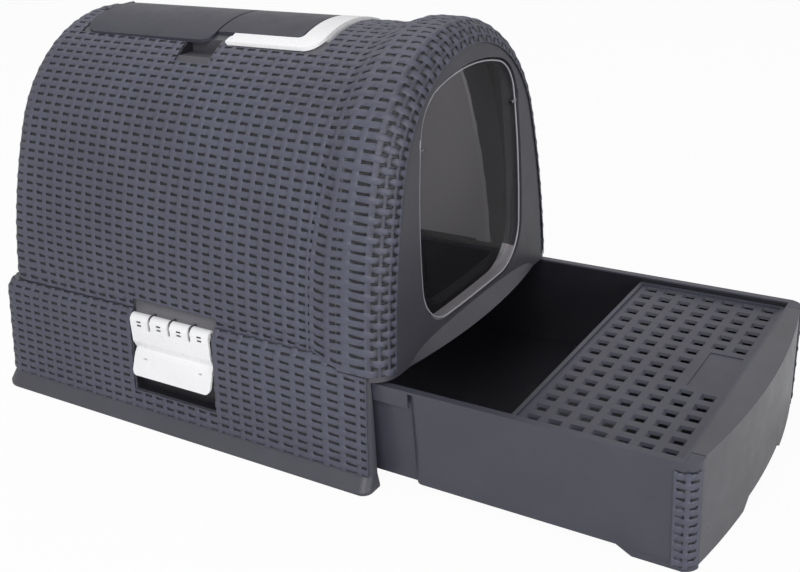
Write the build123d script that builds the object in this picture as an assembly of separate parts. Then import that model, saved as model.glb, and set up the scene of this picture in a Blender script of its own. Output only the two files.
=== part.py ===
from build123d import *
import math
import os

# Drawer litter box, drawer open by its full travel. Millimetres, +Z up, front towards -Y.
# Origin: middle of the foot's underside.

os.makedirs("parts", exist_ok=True)

# ---------------------------------------------------------------- base
WALL = 3.0                      # hood and base wall
FOOT_HALF = 193.3               # half width over the foot
BASE_HALF = 250.0               # half length over the foot
FOOT_EDGE = 3.0                 # upright edge of the foot
FLARE_TOP = 14.0                # the foot's slope ends here
SKIRT_HALF = FOOT_HALF - 9.8    # half width of the skirt at FLARE_TOP
SKIRT_REAR = BASE_HALF - 2.7    # rear of the skirt at FLARE_TOP
SKIRT_FRONT = 2.0 - BASE_HALF
SKIRT_TOP = 115.7
SKIRT_DRAFT = 4.15              # degrees
SKIRT_DRAWN = (SKIRT_TOP - FLARE_TOP) * math.tan(math.radians(SKIRT_DRAFT))
SHOULDER_TOP = 125.0
SHOULDER_IN = 7.1               # the shoulder slopes in by this
FRONT_CORNER = 10.0
REAR_CORNER = 20.0
FOOT_CORNER = 24.0
JAMB = 5.62                     # skirt's top to the front opening
OPENING_HALF = SKIRT_HALF - SKIRT_DRAWN - JAMB
FLOOR_FRONT = -188.0            # front edge of the floor
FLOOR = 3.0
RAIL_WIDTH = 6.0
RAIL_REAR = 225.0
SLIDE_GAP = 0.4                 # drawer above its rails
DRAWER_SIDE_GAP = 3.0           # drawer's rim to the sides of the opening

# ---------------------------------------------------------------- hood
HOOD_FOOT = 118.0               # underside of the hood's foot
HOOD_HALF = SKIRT_HALF - SKIRT_DRAWN - SHOULDER_IN - 2.02
COWL_HALF = HOOD_HALF + 9.4     # half width over the cowl
LEDGE_THICK = 3.0
LEDGE_IN = 6.0                  # the ledge reaches this far inside the hood's foot line
SEAT_GAP = 0.5                  # hood foot to shoulder
DECK_END = -176.0               # the hood's foot steps down to the skirt's top here
CREASE = -190.0                 # the cover starts to flare
COWL = -215.0                   # the flare ends
HOOD_FRONT = COWL - 50.6
COWL_FOOT = 112.0
HOOD_REAR = SKIRT_REAR - SKIRT_DRAWN - SHOULDER_IN - 1.52
REAR_LEAN = 0.079               # the rear face leans forward by this share of the height
REAR_ROUND = 20.5
FRONT_ROUND = 26.4
BEVEL = 0.75                    # inner bevel, as a share of the inner rounding

# ---------------------------------------------------------------- door
DOOR_BOTTOM = 130.4
DOOR_TOP = 364.0
DOOR_LOW_HALF = 98.5
DOOR_LOW_Z = 132.6
DOOR_MID_HALF = 102.3
DOOR_MID_Z = 225.0
DOOR_HIGH_HALF = 88.5
DOOR_HIGH_Z = 345.5
DOOR_LOW_ROUND = 48.0
DOOR_HIGH_ROUND = 48.0
DOOR_THICK = 2.5
DOOR_SET_BACK = 2.4             # door's front face behind the hood's
DOOR_GAP = 1.3                  # door edge to doorway
COLLAR = 2.5
COLLAR_DEEP = 19.0
COLLAR_FLARE = 1.2              # the collar's rear half is wider by this
COLLAR_FLARE_START = 10.0
DOOR_AXIS_Z = 306.0
DOOR_BOSS = 3.4
DOOR_BOSS_LONG = 10.0
DOOR_PIN = 1.8
DOOR_RIB_IN = 13.0              # rib behind the door's lower edge, in from the edge
DOOR_RIB = 2.5
DOOR_RIB_DEEP = 14.0
DOOR_RIB_TOP = 205.0
PIVOT_RELIEF = 0.8              # extra room beside the door's edges, round the pivots
PIVOT_RELIEF_R = 12.5
PIVOT_WALL = 6.0                # boss on the collar, along the pin
RUN_GAP = 0.06                  # running fit, radial

# ---------------------------------------------------------------- chin
CHIN_HALF = 150.0
CHIN_BULGE = 11.4               # in front of the hood's front face
CHIN_TOP = 128.0
CHIN_WALL = 2.5
CHIN_ROOT = 3.6                 # the chin starts this far inside the front face
CHIN_EDGE = 0.6                 # its top edge lies behind the front face

# ---------------------------------------------------------------- storage lid and well
LID_HALF = 63.0
LID_FRONT = -7.0
LID_REAR = 170.0
LID_FRONT_ROUND = 12.0
LID_REAR_ROUND = 22.0
PLATE_THICK = 3.0               # lid and handle plate
LID_LIFT = 0.3                  # lid above the hood's surface
WELL_HALF = 54.0
WELL_FRONT = 2.0
WELL_REAR = 152.0
WELL_DEEP = 62.6                # well's underside below the crown
WELL_WALL = 2.0
LID_RIM_DEEP = 5.0
LID_RIM_GAP = 1.2
LID_AXIS_Y = 172.0
LID_AXIS_DEEP = 0.7             # below the crown
LID_KNUCKLE = 4.0
LID_KNUCKLE_HALF = 12.0
LID_LUG_END = 20.0
LID_PIN = 1.5
HINGE_GAP = 0.8
POCKET_X = 57.0                 # finger pockets beside the lid
POCKET_FRONT = -20.0
POCKET_REAR = 21.0
POCKET_DEEP = 26.1              # below the crown
POCKET_END = 90.0               # past the place where the cover falls below the floor

# ---------------------------------------------------------------- handle
HANDLE_HALF = 63.0
HANDLE_INNER = 50.5
HANDLE_FRONT = -138.0
HANDLE_BAR = 25.0               # depth of the bar in plan
HANDLE_ROUND = 18.0
HANDLE_THICK = 3.1
HANDLE_LIFT = 0.5
HANDLE_AXIS_Y = -31.5
HANDLE_AXIS_DEEP = 12.1         # below the crown
HANDLE_BOSS = 3.7
HANDLE_PIN = 1.6
HANDLE_PIN_START = 42.0
HANDLE_PIN_END = 56.0
HANDLE_GROOVE = 6.0
BAR_SKIRT = 7.5
BAR_WALL = 2.5
GRIP_HALF = 48.0
GRIP_FRONT = -143.0
GRIP_DEEP = 17.0
MIDDLE_PLATE_HALF = 49.5        # plain plate between the handle's arms
MIDDLE_PLATE_REAR = -9.0
PLATE_GAP = 2.0                 # plate to the handle's bar
PLATE_ROUND = 5.0

# ---------------------------------------------------------------- latches
LATCH_FRONT = -62.5
LATCH_REAR = 41.5
LATCH_FACE = SKIRT_HALF - 5.0   # outer face of the plate
LATCH_THICK = 2.5
LATCH_FINGERS = 4
LATCH_SLOT = 3.5
LATCH_SLOT_FOOT = 108.0
LATCH_TOP = 115.6               # the finger's face turns in here
GROOVE_TOP = 93.0
GROOVE_MID = 84.0
GROOVE_FOOT = 79.0
GROOVE_DEEP = 4.0
FLAP_OUT = 8.5
FLAP_FOOT = 57.5
FLAP_ROUND = 6.0
ROD_X = LATCH_FACE - 7.0
ROD_Z = 118.6
ROD_R = 2.0
CLIP_R = 4.2
RIB_WIDTH = 2.5
BAY_GAP = 2.0                   # latch to the ends of its bay
BAY_FOOT = 38.0
WINDOW_HALF = 3.0               # windows in the fingers
WINDOW_HIGH = 2.0
WINDOW_DEEP = 1.2
WINDOWS = (112.0, 116.0)        # their heights
SLIT = (5.0, 74.2, 75.8)        # slits in the flap: width, foot and top
SLIT_OFF = 37.0                 # from the latch's middle
BAY_WALL = 2.0
RECESS_DEEP = 1.2
RECESS_TOP = 134.0

# ---------------------------------------------------------------- drawer
TRAVEL = 286.0
DRAWER_TOP = 108.0
RIM_OUT = 5.0
TUB_HALF = OPENING_HALF - DRAWER_SIDE_GAP - RIM_OUT
TUB_DRAFT = 3.0                 # degrees
TUB_WALL = 2.5
TUB_FRONT = -BASE_HALF - TRAVEL
TUB_REAR = HOOD_REAR - 4.3 - TRAVEL
TUB_REAR_ROUND = 18.0
LIP_FOOT = 91.0
PANEL_REAR = -BASE_HALF - 33.0
PANEL_ROUND = 9.0
FOOT_OUT = TUB_HALF - 1.5
FOOT_IN = FOOT_OUT - 41.0
FOOT_REAR = TUB_FRONT + 42.0
FOOT_RAMP = 16.0
POST_IN = TUB_HALF - 12.5
POST_FRONT = TUB_FRONT - 12.0
POST_DRAFT = 6.0                # the post's foot stands in by this
FRONT_HALF = POST_IN - 1.0
FRONT_SIDE = TUB_FRONT - 11.5
FRONT_MIDDLE = TUB_FRONT - 25.0
FRONT_FOOT = 3.0
NOTCH_HALF = 60.0
NOTCH_TOP_HALF = 48.0
NOTCH_HIGH = 9.0
RAIL_X = TUB_HALF - 32.5        # runners under the tub

# ---------------------------------------------------------------- grid
GRID_GAP = 0.65                 # to the tub's wall at the grid's foot
GRID_FOOT = 90.0
GRID_REAR = TUB_FRONT + 156.5
GRID_FACE = 101.0
GRID_THICK = 3.0
GRID_RIM_TOP = 103.0
GRID_RIM = 4.0
GRID_SKIRT = 2.0
GRID_LEDGE = 5.0
GRID_LEDGE_THICK = 4.0
GRID_FRONT_GAP = 1.5
HOLE_MARGIN = 1.0               # holes to the raised border
HOLE_ROWS = 7
HOLE_PITCH_X = 19.6
HOLE_PITCH_Y = 20.3
HOLE_FIRST_Y = GRID_REAR - 16.4
HOLE_TOP = (11.0, 13.0)
HOLE_FOOT = (9.0, 8.0)
LIFT_HALF = 35.0                # bare lift panel
LIFT_REAR = TUB_FRONT + 42.0
LIFT_FRONT = TUB_FRONT + 11.0
LIFT_DEEP = 0.8
BARE_COLUMNS = 4                # columns left out for the lift panel
BARE_ROWS = 2

BIG = 900.0                     # longer than the whole box


# ---------------------------------------------------------------- helpers
def both_sides(shape):
    """The shape and its mirror image across the middle plane."""
    return shape + mirror(shape, about=Plane.YZ)


def block(x0, x1, y0, y1, z0, z1):
    """Box between two corners."""
    place = Pos((x0 + x1) / 2, (y0 + y1) / 2, (z0 + z1) / 2)
    return place * Box(x1 - x0, y1 - y0, z1 - z0)


def rod_x(radius, x0, x1, y, z):
    """Round bar along X."""
    return Pos((x0 + x1) / 2, y, z) * Rot(0, 90, 0) * Cylinder(radius, x1 - x0)


def rod_y(radius, y0, y1, x, z):
    """Round bar along Y."""
    return Pos(x, (y0 + y1) / 2, z) * Rot(90, 0, 0) * Cylinder(radius, y1 - y0)


def plan(half, front, rear, z, front_round=0.0, rear_round=0.0):
    """Level rectangle with rounded front and rear corners."""
    face = Pos(0, (front + rear) / 2) * Rectangle(2 * half, rear - front)
    if front_round:
        face = fillet(face.vertices().sort_by(Axis.Y)[:2], front_round)
    if rear_round:
        face = fillet(face.vertices().sort_by(Axis.Y)[-2:], rear_round)
    return Pos(0, 0, z) * face


def column(face, height):
    """Upright prism on a level face."""
    return extrude(face, height, dir=(0, 0, 1))


def upright(points, y0, y1):
    """Prism along Y over an outline of (x, z) points."""
    face = make_face(Polyline([(x, y0, z) for x, z in points], close=True))
    return extrude(face, y1 - y0, dir=(0, 1, 0))


class Arch:
    """Cross-section of the cover: two tangent arcs a side and a round crown.

    A turn is the angle of the outward normal above the horizontal, in degrees."""

    def __init__(self, foot_half, foot_z, foot_turn, side, side_turn, haunch, haunch_turn):
        self.foot = (foot_half, foot_z)
        self.turns = [math.radians(t) for t in (foot_turn, side_turn, haunch_turn)]
        self.radii = (side, haunch)

    def corners(self, inset):
        """Ends and middles of the right-hand arcs, then the crown's radius."""
        turn = self.turns[0]
        x = self.foot[0] - inset * math.cos(turn)
        z = self.foot[1] - inset * math.sin(turn)
        points = [(x, z)]
        for radius, end in zip(self.radii, self.turns[1:]):
            r = radius - inset
            for t in ((turn + end) / 2, end):
                points.append((x + r * (math.cos(t) - math.cos(turn)),
                               z + r * (math.sin(t) - math.sin(turn))))
            x, z = points[-1]
            turn = end
        return points, x / math.cos(turn)

    def crown(self, inset=0.0):
        """Height of the crown."""
        points, radius = self.corners(inset)
        return points[-1][1] + radius * (1 - math.sin(self.turns[-1]))

    def height(self, x):
        """Height of the crown arc at a place near the middle."""
        points, radius = self.corners(0.0)
        centre = self.crown() - radius
        return centre + math.sqrt(radius * radius - x * x)

    def face(self, y, inset=0.0, below=20.0):
        """Upright face under the arch, carried on below its foot."""
        points, _ = self.corners(inset)
        turn = self.turns[0]
        start = (points[0][0] + below * math.tan(turn), points[0][1] - below)
        right = [(x, y, z) for x, z in [start] + points]
        left = [(-x, py, z) for x, py, z in right]
        edges = [
            Line(right[0], right[1]),
            ThreePointArc(right[1], right[2], right[3]),
            ThreePointArc(right[3], right[4], right[5]),
            ThreePointArc(right[5], (0, y, self.crown(inset)), left[5]),
            ThreePointArc(left[5], left[4], left[3]),
            ThreePointArc(left[3], left[2], left[1]),
            Line(left[1], left[0]),
            Line(left[0], right[0]),
        ]
        return Face(Wire([e.edge() for e in edges]))


COVER = Arch(HOOD_HALF, HOOD_FOOT, 2.75, 605.0, 20.2, 155.0, 54.7)
FRONT = Arch(COWL_HALF, COWL_FOOT, 2.2, 733.0, 16.6, 152.6, 54.7)
WELL_FLOOR = COVER.crown() - WELL_DEEP
LID_AXIS_Z = COVER.crown() - LID_AXIS_DEEP
POCKET_FLOOR = COVER.crown() - POCKET_DEEP
HANDLE_AXIS_Z = COVER.crown() - HANDLE_AXIS_DEEP


def skirt_in(z):
    """How far the skirt has drawn in at a height."""
    return (z - FLARE_TOP) * math.tan(math.radians(SKIRT_DRAFT))


def skirt_plan(z, inset=0.0, front=SKIRT_FRONT):
    """Level section of the base's skirt."""
    return plan(SKIRT_HALF - skirt_in(z) - inset, front + inset, SKIRT_REAR - skirt_in(z) - inset,
                z, FRONT_CORNER - inset, REAR_CORNER - inset)


def tub_in(z):
    """How far the drawer's walls have drawn in at a height."""
    return (DRAWER_TOP - z) * math.tan(math.radians(TUB_DRAFT))


# ---------------------------------------------------------------- base shell
def seat_cutter(low):
    """Room for the hood's foot, straight up."""
    side = COVER.foot[0] + SEAT_GAP
    cowl = FRONT.foot[0] + SEAT_GAP
    rear = plan(side, CREASE, HOOD_REAR + SEAT_GAP, low, 0, REAR_ROUND + SEAT_GAP)
    flare = Polyline([(-side, CREASE + 1, low), (side, CREASE + 1, low), (side, CREASE, low),
                      (cowl, COWL, low), (cowl, HOOD_FRONT, low), (-cowl, HOOD_FRONT, low),
                      (-cowl, COWL, low), (-side, CREASE, low)], close=True)
    return column(rear, 30) + column(make_face(flare), 30)


def latch_bay(x0, z0, z1, margin=0.0):
    """Block behind or in a side latch, on the right."""
    return block(x0, FOOT_HALF, LATCH_FRONT - BAY_GAP - margin, LATCH_REAR + BAY_GAP + margin,
                 z0, z1)


def base_shell():
    foot_face = plan(FOOT_HALF, -BASE_HALF, BASE_HALF, 0, FRONT_CORNER, FOOT_CORNER)
    body = column(foot_face, FOOT_EDGE)
    body += loft([Pos(0, 0, FOOT_EDGE) * foot_face, skirt_plan(FLARE_TOP)], ruled=True)
    body += loft([skirt_plan(FLARE_TOP), skirt_plan(SKIRT_TOP)], ruled=True)
    top_half = SKIRT_HALF - skirt_in(SKIRT_TOP)
    top_rear = SKIRT_REAR - skirt_in(SKIRT_TOP)
    low = plan(top_half, COWL, top_rear, SKIRT_TOP, 0, REAR_CORNER)
    high = plan(top_half - SHOULDER_IN, COWL, top_rear - SHOULDER_IN, SHOULDER_TOP, 0,
                REAR_CORNER - SHOULDER_IN)
    body += loft([low, high], ruled=True)

    # hollow, ledge and seat for the hood
    ledge_half = COVER.foot[0] - LEDGE_IN
    ledge_rear = HOOD_REAR - LEDGE_IN
    deck_under = SKIRT_TOP - LEDGE_THICK
    ledge_under = HOOD_FOOT - LEDGE_THICK
    body -= loft([skirt_plan(FLOOR, WALL), skirt_plan(deck_under, WALL)], ruled=True)
    under_half = SKIRT_HALF - skirt_in(ledge_under) - WALL
    under_rear = SKIRT_REAR - skirt_in(ledge_under) - WALL
    body -= column(plan(under_half, DECK_END, under_rear, deck_under, 0, REAR_CORNER - WALL),
                   ledge_under - deck_under)
    body -= column(plan(ledge_half, SKIRT_FRONT + WALL, ledge_rear, ledge_under - 5, 0,
                        REAR_ROUND - WALL), 20)
    body -= seat_cutter(HOOD_FOOT)
    body -= seat_cutter(SKIRT_TOP) & block(-BIG, BIG, -BIG, DECK_END, 0, BIG)

    # front opening, down through the floor's front edge
    body -= block(-OPENING_HALF, OPENING_HALF, -260, FLOOR_FRONT, -1, FLOOR)
    body -= block(-OPENING_HALF, OPENING_HALF, -260, SKIRT_FRONT + WALL + 0.5, -1, 130)

    # bays for the side latches, closed behind
    back = ROD_X - BAY_WALL
    lip_top = ROD_Z - CLIP_R - 3.4
    bay = latch_bay(back, BAY_FOOT - BAY_WALL, lip_top, BAY_WALL)
    bay += latch_bay(COVER.foot[0] - LEDGE_IN + 2, lip_top - BAY_WALL, HOOD_FOOT, BAY_WALL)
    solid_outside = loft([skirt_plan(FLARE_TOP), skirt_plan(SKIRT_TOP)], ruled=True)
    solid_outside += column(skirt_plan(SKIRT_TOP, SHOULDER_IN), HOOD_FOOT - SKIRT_TOP)
    body += both_sides(bay) & solid_outside
    cut = latch_bay(ROD_X, BAY_FOOT, HOOD_FOOT)
    cut += latch_bay(COVER.foot[0] - 2, lip_top, RECESS_TOP)
    body -= both_sides(cut)

    rail = block(RAIL_X - RAIL_WIDTH / 2, RAIL_X + RAIL_WIDTH / 2, FLOOR_FRONT, RAIL_REAR,
                 FLOOR - 1, tub_floor() - SLIDE_GAP)
    return body + both_sides(rail)


def tub_floor():
    """Underside of the drawer's tub: level with the top of its feet."""
    return NOTCH_HIGH


# ---------------------------------------------------------------- hood
def cover_prism(inset, front, rear):
    """Straight length of the cover's arch."""
    return extrude(COVER.face(front, inset), rear - front, dir=(0, 1, 0))


def round_end(body, face, radius):
    """Round the edges of an end face, but not its foot."""
    return fillet(end_edges(face), radius)


def bevel_end(body, face, radius):
    """Bevel the edges of an end face where the outside is rounded."""
    return chamfer(end_edges(face), radius * BEVEL)


def end_edges(face):
    """Edges of an end face above its foot."""
    low = min(v.Z for v in face.vertices())
    return [e for e in face.edges() if e.center().Z > low + 1]


def hood_form(inset):
    """The whole cover as one solid, moved in by inset. Its inside has plain bevels."""
    turn_in = bevel_end if inset else round_end
    cover = cover_prism(inset, CREASE, HOOD_REAR + 60)
    rear = Plane(origin=(0, HOOD_REAR - inset, HOOD_FOOT), z_dir=(0, 1, REAR_LEAN))
    cover = split(cover, bisect_by=rear, keep=Keep.BOTTOM)
    cover = turn_in(cover, cover.faces().sort_by(Axis.Y)[-1], REAR_ROUND - inset)
    flare = loft([COVER.face(CREASE, inset), FRONT.face(COWL, inset, below=14)], ruled=True)
    front_y = HOOD_FRONT + inset
    cowl = extrude(FRONT.face(COWL, inset, below=14), COWL - front_y, dir=(0, -1, 0))
    cowl = turn_in(cowl, cowl.faces().sort_by(Axis.Y)[0], FRONT_ROUND - inset)
    return cover + flare + cowl


def foot_cutter():
    """Everything below the hood's stepped foot."""
    cut = block(-BIG, BIG, DECK_END - 1, BIG, 0, HOOD_FOOT)
    cut += block(-BIG, BIG, SKIRT_FRONT - 0.3, DECK_END - 1, 0, SKIRT_TOP)
    return cut + block(-BIG, BIG, -BIG, SKIRT_FRONT - 0.3, 0, COWL_FOOT)


def door_outline(grow=0.0):
    """Outline of the door in the XZ plane, moved out by grow."""
    low = (DOOR_LOW_HALF, DOOR_LOW_Z)
    mid = (DOOR_MID_HALF, DOOR_MID_Z)
    high = (DOOR_HIGH_HALF, DOOR_HIGH_Z)
    edges = Curve() + [
        ThreePointArc((-low[0], low[1]), (0, DOOR_BOTTOM), low),
        ThreePointArc(low, mid, high),
        ThreePointArc(high, (0, DOOR_TOP), (-high[0], high[1])),
        ThreePointArc((-high[0], high[1]), (-mid[0], mid[1]), (-low[0], low[1])),
    ]
    face = make_face(edges)
    face = fillet(face.vertices().sort_by(Axis.Y)[:2], DOOR_LOW_ROUND)
    face = fillet([v for v in face.vertices() if abs(v.Y - DOOR_HIGH_Z) < 0.01], DOOR_HIGH_ROUND)
    return moved_out(face, grow) if grow else face


def moved_out(face, amount):
    """Face bounded by tangent arcs, with every arc moved out."""
    arcs = Curve()
    for edge in face.edges():
        points = []
        for t in (0, 0.5, 1):
            tangent = edge % t
            normal = Vector(tangent.Y, -tangent.X)
            outward = 1 if normal.dot(edge @ t - face.center()) > 0 else -1
            points.append(edge @ t + normal * outward * amount)
        arcs += ThreePointArc(*points)
    return make_face(arcs)


def door_prism(grow, front, rear):
    """Prism of the door's outline between two depths."""
    face = Plane((0, front, 0), x_dir=(1, 0, 0), z_dir=(0, -1, 0)) * door_outline(grow)
    return extrude(face, rear - front, dir=(0, 1, 0))


def chin_form(inset):
    """Bulge below the doorway that covers the closed drawer's front."""
    low_front = HOOD_FRONT - CHIN_BULGE + inset
    back = HOOD_FRONT + CHIN_ROOT
    half = CHIN_HALF - inset

    def slice_at(z, front):
        line = Line((-half, back, z), (half, back, z))
        arc = ThreePointArc((half, back, z), (0, front, z), (-half, back, z))
        return make_face(Curve() + [line, arc])

    return loft([slice_at(COWL_FOOT - (1 if inset else 0), low_front),
                 slice_at(CHIN_TOP, HOOD_FRONT + CHIN_EDGE + inset)], ruled=True)


def thick_places():
    """Blocks where the hood is thicker, under its hinges, grooves and pockets."""
    recess = LID_KNUCKLE + HINGE_GAP
    seat_end = HANDLE_HALF + 3.5
    seat_foot = HANDLE_AXIS_Z - HANDLE_GROOVE - 2.5
    knuckle = block(-LID_LUG_END - 3, LID_LUG_END + 3, LID_AXIS_Y - recess - 3,
                    LID_AXIS_Y + recess + 3, LID_AXIS_Z - recess - 2.5, BIG)
    pocket = block(WELL_HALF + 0.3, POCKET_END, POCKET_FRONT - WALL, POCKET_REAR + WALL,
                   POCKET_FLOOR - WALL, BIG)
    seat = block(HANDLE_PIN_START - 3, seat_end, HANDLE_AXIS_Y - HANDLE_GROOVE - 3,
                 HANDLE_AXIS_Y + HANDLE_GROOVE + 3, seat_foot, BIG)
    grip = block(-GRIP_HALF - WALL, GRIP_HALF + WALL, GRIP_FRONT - WALL, grip_rear() + WALL,
                 grip_floor() - WALL, BIG)
    return knuckle + both_sides(pocket) + both_sides(seat) + grip


def grip_rear():
    """Rear edge of the grip pocket under the handle's bar."""
    return HANDLE_FRONT + HANDLE_BAR + PLATE_GAP


def grip_floor():
    """Height of the grip pocket's floor."""
    return COVER.crown() - GRIP_DEEP


def rib_positions():
    """Middles of the slots between a latch's fingers."""
    return [LATCH_FRONT + (k + 1) * finger_width() + (k + 0.5) * LATCH_SLOT
            for k in range(LATCH_FINGERS - 1)]


def finger_width():
    """Width of one clip finger."""
    span = LATCH_REAR - LATCH_FRONT
    return (span - (LATCH_FINGERS - 1) * LATCH_SLOT) / LATCH_FINGERS


def hood_shell():
    body = hood_form(0) - (hood_form(WALL) - thick_places())
    body += chin_form(0)
    body -= chin_form(CHIN_WALL)

    # doorway with its collar
    collar_rear = HOOD_FRONT + COLLAR_DEEP
    flare_start = HOOD_FRONT + COLLAR_FLARE_START
    body += door_prism(DOOR_GAP + COLLAR, HOOD_FRONT + 1, flare_start)
    body += door_prism(DOOR_GAP + COLLAR + COLLAR_FLARE, flare_start - COLLAR, collar_rear)
    edge = door_half(DOOR_AXIS_Z) + DOOR_GAP
    boss = rod_x(DOOR_BOSS + 2, edge, edge + PIVOT_WALL, door_axis_y() + 2, DOOR_AXIS_Z)
    body += both_sides(boss)
    body -= door_prism(DOOR_GAP, HOOD_FRONT - 20, collar_rear + 1)
    body -= door_prism(DOOR_GAP + COLLAR_FLARE, flare_start, collar_rear + 1)
    relief = edge + PIVOT_RELIEF
    body -= rod_x(PIVOT_RELIEF_R, -relief, relief, door_axis_y(), DOOR_AXIS_Z)
    bore = edge + PIVOT_WALL - 0.5
    body -= rod_x(DOOR_PIN + RUN_GAP, -bore, bore, door_axis_y(), DOOR_AXIS_Z)

    # lid opening, lid hinge and finger pockets
    well_edge = WELL_HALF - WELL_WALL
    body -= block(-well_edge, well_edge, WELL_FRONT + WELL_WALL, WELL_REAR - WELL_WALL,
                  WELL_FLOOR, BIG)
    recess = LID_KNUCKLE + HINGE_GAP
    body -= rod_x(recess, -LID_KNUCKLE_HALF - 0.6, LID_KNUCKLE_HALF + 0.6, LID_AXIS_Y, LID_AXIS_Z)
    lug = rod_x(LID_KNUCKLE, LID_KNUCKLE_HALF + HINGE_GAP, LID_LUG_END, LID_AXIS_Y, LID_AXIS_Z)
    body += both_sides(lug)
    body -= rod_x(LID_PIN, -LID_LUG_END + 0.5, LID_LUG_END - 0.5, LID_AXIS_Y, LID_AXIS_Z)
    body -= both_sides(block(POCKET_X, POCKET_END, POCKET_FRONT, POCKET_REAR, POCKET_FLOOR, BIG))

    # seat of the carrying handle: grooves for its ends, grip pocket under its bar
    groove_end = HANDLE_HALF + 1.0
    body -= both_sides(rod_x(HANDLE_GROOVE, MIDDLE_PLATE_HALF, groove_end,
                             HANDLE_AXIS_Y, HANDLE_AXIS_Z))
    body -= both_sides(rod_x(HANDLE_PIN, HANDLE_PIN_START, HANDLE_PIN_END,
                             HANDLE_AXIS_Y, HANDLE_AXIS_Z))
    body -= block(-GRIP_HALF, GRIP_HALF, GRIP_FRONT, grip_rear(), grip_floor(), BIG)

    # smooth recess and hinge ribs for the side latches
    skin = cover_prism(-1, CREASE, HOOD_REAR) - cover_prism(RECESS_DEEP, CREASE - 1, HOOD_REAR + 1)
    body -= skin & both_sides(latch_bay(120, COWL_FOOT, RECESS_TOP))
    body -= foot_cutter()
    for y in rib_positions():
        y0, y1 = y - RIB_WIDTH / 2, y + RIB_WIDTH / 2
        rib = block(COVER.foot[0] - 1.7, ROD_X, y0, y1, ROD_Z - CLIP_R, ROD_Z + CLIP_R)
        body += both_sides(rib + rod_y(CLIP_R, y0, y1, ROD_X, ROD_Z))
    bore = rod_y(ROD_R, LATCH_FRONT + 2, LATCH_REAR - 2, ROD_X, ROD_Z)
    return body - both_sides(bore)


# ---------------------------------------------------------------- door
def door_half(z):
    """Half width of the door at a height on its side arc."""
    x0, z0 = DOOR_LOW_HALF, DOOR_LOW_Z
    x1, z1 = DOOR_MID_HALF, DOOR_MID_Z
    x2, z2 = DOOR_HIGH_HALF, DOOR_HIGH_Z
    t = (z - z0) * (z - z2) / ((z1 - z0) * (z1 - z2))
    chord = x0 + (x2 - x0) * (z - z0) / (z2 - z0)
    mid_chord = x0 + (x2 - x0) * (z1 - z0) / (z2 - z0)
    return chord + (x1 - mid_chord) * t


def door_axis_y():
    """The pivots lie in the middle of the door's thickness, so it hangs upright."""
    return HOOD_FRONT + DOOR_SET_BACK + DOOR_THICK / 2


def swing_door():
    front = HOOD_FRONT + DOOR_SET_BACK
    body = door_prism(0, front, front + DOOR_THICK)
    back = front + DOOR_THICK
    rib = door_prism(-DOOR_RIB_IN, back - 1, back + DOOR_RIB_DEEP)
    rib -= door_prism(-DOOR_RIB_IN - DOOR_RIB, back - 2, back + DOOR_RIB_DEEP + 1)
    body += rib & block(-BIG, BIG, -BIG, BIG, 0, DOOR_RIB_TOP)
    end = door_half(DOOR_AXIS_Z) - 0.5
    body += both_sides(rod_x(DOOR_BOSS, end - DOOR_BOSS_LONG, end, door_axis_y(), DOOR_AXIS_Z))
    return body - both_sides(pivot_pin(end + 1))


def pivot_pin(end):
    """The door's right-hand pin, out to a given place."""
    start = door_half(DOOR_AXIS_Z) - DOOR_BOSS_LONG + 1.5
    return rod_x(DOOR_PIN, start, end, door_axis_y(), DOOR_AXIS_Z)


def door_pivot_pins():
    return both_sides(pivot_pin(door_half(DOOR_AXIS_Z) + DOOR_GAP + PIVOT_WALL - 1))


# ---------------------------------------------------------------- lid and well
def storage_well():
    outer = block(-WELL_HALF, WELL_HALF, WELL_FRONT, WELL_REAR, WELL_FLOOR, BIG)
    edges = outer.edges().filter_by(Axis.Z)
    outer = fillet(edges, 6)
    inner = block(-WELL_HALF + WELL_WALL, WELL_HALF - WELL_WALL, WELL_FRONT + WELL_WALL,
                  WELL_REAR - WELL_WALL, WELL_FLOOR + WELL_WALL, BIG)
    inner = fillet(inner.edges().filter_by(Axis.Z), 4)
    return (outer - inner) & cover_prism(WALL, CREASE, HOOD_REAR)


def cover_plate(outline, lift, thick):
    """Plate that follows the cover, over an outline in plan."""
    top = cover_prism(-lift - thick, CREASE, HOOD_REAR)
    under = cover_prism(-lift, CREASE - 1, HOOD_REAR + 1)
    return (top - under) & column(outline, BIG)


def storage_lid():
    outline = plan(LID_HALF, LID_FRONT, LID_REAR, 0, LID_FRONT_ROUND, LID_REAR_ROUND)
    body = cover_plate(outline, LID_LIFT, PLATE_THICK)
    rim_half = WELL_HALF - WELL_WALL - LID_RIM_GAP
    rim_front = WELL_FRONT + WELL_WALL + LID_RIM_GAP
    rim_rear = WELL_REAR - WELL_WALL - LID_RIM_GAP
    ring = plan(rim_half, rim_front, rim_rear, 0, 4, 4)
    ring -= plan(rim_half - 2, rim_front + 2, rim_rear - 2, 0, 2, 2)
    band = cover_prism(-LID_LIFT - 1, CREASE, HOOD_REAR)
    band -= cover_prism(LID_RIM_DEEP, CREASE - 1, HOOD_REAR + 1)
    body += band & column(ring, BIG)
    notch = rod_x(LID_KNUCKLE + 0.6, LID_KNUCKLE_HALF + 0.3, LID_LUG_END + 0.5,
                  LID_AXIS_Y, LID_AXIS_Z)
    body -= both_sides(notch)
    body += rod_x(LID_KNUCKLE, -LID_KNUCKLE_HALF, LID_KNUCKLE_HALF, LID_AXIS_Y, LID_AXIS_Z)
    return body - rod_x(LID_PIN + RUN_GAP, -LID_HALF, LID_HALF, LID_AXIS_Y, LID_AXIS_Z)


def lid_hinge_pin():
    return rod_x(LID_PIN, -LID_LUG_END + 0.5, LID_LUG_END - 0.5, LID_AXIS_Y, LID_AXIS_Z)


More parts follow.
